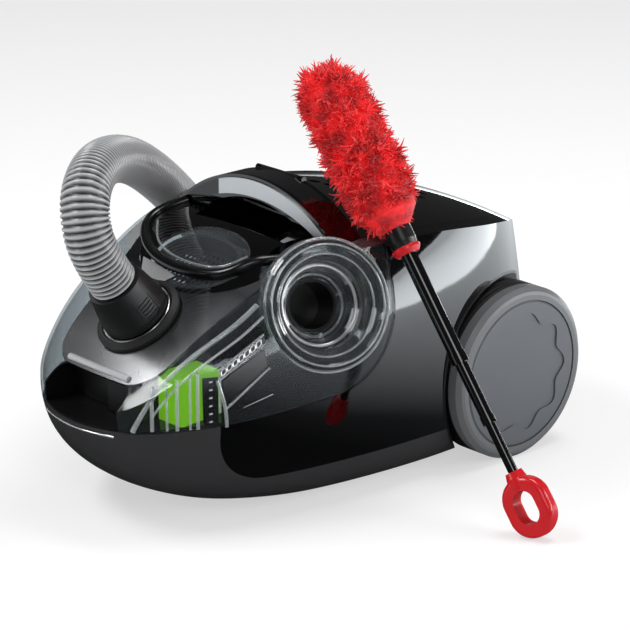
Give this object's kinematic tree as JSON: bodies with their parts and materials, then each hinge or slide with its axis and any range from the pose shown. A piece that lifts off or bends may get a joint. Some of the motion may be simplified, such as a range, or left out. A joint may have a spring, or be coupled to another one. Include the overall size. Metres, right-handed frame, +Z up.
{
  "type": "canister vacuum cleaner",
  "caption": "Bagless canister vacuum cleaner with a clear cyclone bin, big rear wheels, a corrugated hose and a telescopic microfibre duster.",
  "frame": {"origin": "On the floor, midway between the rear wheels and straight below their axle.", "axes": "+X towards the cleaner's left side, -Y towards the nose, +Z up."},
  "size_m": [0.8981, 0.798, 0.3692],
  "materials": {
    "black_abs": "piano-black polished ABS",
    "tub_plastic": "finely textured dark grey polypropylene",
    "dark_plastic": "satin black ABS",
    "smoke_abs": "metallic dark grey gloss",
    "clear_pc": "clear polycarbonate",
    "lime_plastic": "translucent lime plastic",
    "silver_band": "satin silver finish",
    "wheel_grey": "grey moulded plastic",
    "hub_grey": "darker grey moulded plastic",
    "rubber": "black rubber",
    "steel": "zinc-plated steel",
    "foam": "open-cell foam",
    "filter_paper": "pleated filter paper",
    "board": "circuit board",
    "hose_grey": "silver-grey corrugated hose",
    "red_plastic": "red moulded plastic",
    "red_microfibre": "fluffy red microfibre",
    "pole_black": "black lacquered steel tube"
  },
  "bodies": {
    "chassis": {"chassis_tub": "tub_plastic", "base_screws": "steel", "cord_outlet": "rubber", "cradle_deck": "dark_plastic", "side_panel_left": "black_abs", "side_panel_right": "black_abs", "rear_top_cover": "black_abs", "exhaust_filter": "filter_paper", "wheel_arches": "dark_plastic", "wheel_axles": "steel", "caster_cup": "dark_plastic", "motor_can": "steel", "inner_frame": "dark_plastic", "motor_filter": "foam", "circuit_board": "board"},
    "wheel_l": {"wheel_left": "wheel_grey", "wheel_tyre_left": "rubber", "hub_cap_left": "hub_grey"},
    "wheel_r": {"wheel_right": "wheel_grey", "wheel_tyre_right": "rubber", "hub_cap_right": "hub_grey"},
    "caster": {"caster_fork": "dark_plastic", "caster_pin": "steel"},
    "caster_wheel": {"caster_roller": "wheel_grey"},
    "fan": {"fan_impeller": "dark_plastic", "motor_rotor": "steel"},
    "reel": {"cord_drum": "dark_plastic"},
    "power_button": {"power_pedal": "dark_plastic"},
    "rewind_button": {"cord_rewind_pedal": "dark_plastic"},
    "dust_bin": {"bin_shell": "clear_pc", "bin_tray": "smoke_abs", "front_fascia": "smoke_abs", "nose_pocket": "dark_plastic", "inlet_seal": "rubber", "inlet_ring": "silver_band", "inlet_pipe": "dark_plastic", "handle_surround": "black_abs", "window": "clear_pc", "lint_screen": "hub_grey", "filter_cartridge": "lime_plastic", "cyclone_ring": "clear_pc", "cyclone_funnel": "clear_pc", "cyclone_chamber": "clear_pc", "vortex_tube": "dark_plastic", "carry_handle": "black_abs", "dock_hinge_pin": "steel", "handle_band": "silver_band"},
    "release": {"bin_release_plate": "smoke_abs"},
    "lid": {"dock_lid": "black_abs"},
    "hose": {"hose_tube": "hose_grey", "hose_grip": "dark_plastic"},
    "cuff": {"hose_cuff": "dark_plastic"},
    "cuff_button": {"cuff_latch_button": "dark_plastic"},
    "duster": {"duster_head": "red_microfibre", "duster_neck_cup": "dark_plastic", "duster_collar": "red_plastic", "duster_outer_tube": "pole_black"},
    "duster_middle": {"duster_middle_tube": "pole_black"},
    "duster_inner": {"duster_inner_tube": "pole_black", "duster_handle": "red_plastic"}
  },
  "joints": [
    {"name": "wheel_left_spin", "type": "hinge", "parent": "chassis", "child": "wheel_l", "pos_m": [0.131, 0, 0.08], "axis": [1, 0, 0], "continuous": true},
    {"name": "wheel_right_spin", "type": "hinge", "parent": "chassis", "child": "wheel_r", "pos_m": [-0.131, 0, 0.08], "axis": [1, 0, 0], "continuous": true},
    {"name": "caster_swivel", "type": "hinge", "parent": "chassis", "child": "caster", "pos_m": [0, -0.268, 0.03], "axis": [0, 0, 1], "continuous": true},
    {"name": "caster_roll", "type": "hinge", "parent": "caster", "child": "caster_wheel", "pos_m": [0, -0.26, 0.016], "axis": [1, 0, 0], "continuous": true},
    {"name": "fan_spin", "type": "hinge", "parent": "chassis", "child": "fan", "pos_m": [0, -0.07, 0.076], "axis": [0, 1, 0], "continuous": true},
    {"name": "reel_spin", "type": "hinge", "parent": "chassis", "child": "reel", "pos_m": [0, 0.056, 0.072], "axis": [0, 1, 0], "continuous": true},
    {"name": "power_press", "type": "slide", "parent": "chassis", "child": "power_button", "axis": [0, 0, -1], "range_m": [0, 0.003], "stiffness_N_per_m": 700, "springref_m": -0.0025},
    {"name": "rewind_press", "type": "slide", "parent": "chassis", "child": "rewind_button", "axis": [0, 0, -1], "range_m": [0, 0.003], "stiffness_N_per_m": 700, "springref_m": -0.0025},
    {"name": "bin_lift", "type": "slide", "parent": "chassis", "child": "dust_bin", "axis": [0, 0, 1], "range_m": [0, 0.2]},
    {"name": "release_press", "type": "slide", "parent": "dust_bin", "child": "release", "axis": [0, 1, 0], "range_m": [0, 0.003], "stiffness_N_per_m": 700, "springref_m": -0.0025},
    {"name": "dock_lid_hinge", "type": "hinge", "parent": "dust_bin", "child": "lid", "pos_m": [0, -0.156, 0.2658], "axis": [-1, 0, 0], "range_deg": [0, 90]},
    {"name": "hose_unplug", "type": "slide", "parent": "dust_bin", "child": "hose", "axis": [0, -0.585, 0.8111], "range_m": [0, 0.05]},
    {"name": "cuff_swivel", "type": "hinge", "parent": "hose", "child": "cuff", "pos_m": [0, -0.318, 0.169], "axis": [0, -0.585, 0.8111], "continuous": true},
    {"name": "cuff_latch_press", "type": "slide", "parent": "cuff", "child": "cuff_button", "axis": [-1, 0, 0], "range_m": [0, 0.002], "stiffness_N_per_m": 700, "springref_m": -0.0025},
    {"name": "duster_lift", "type": "slide", "parent": "dust_bin", "child": "duster", "axis": [0, 0, 1], "range_m": [0, 0.25]},
    {"name": "middle_tube_slide", "type": "slide", "parent": "duster", "child": "duster_middle", "axis": [-0.5855, -0.0414, 0.8096], "range_m": [0, 0.046]},
    {"name": "inner_tube_slide", "type": "slide", "parent": "duster_middle", "child": "duster_inner", "axis": [-0.5855, -0.0414, 0.8096], "range_m": [0, 0.042]}
  ]
}
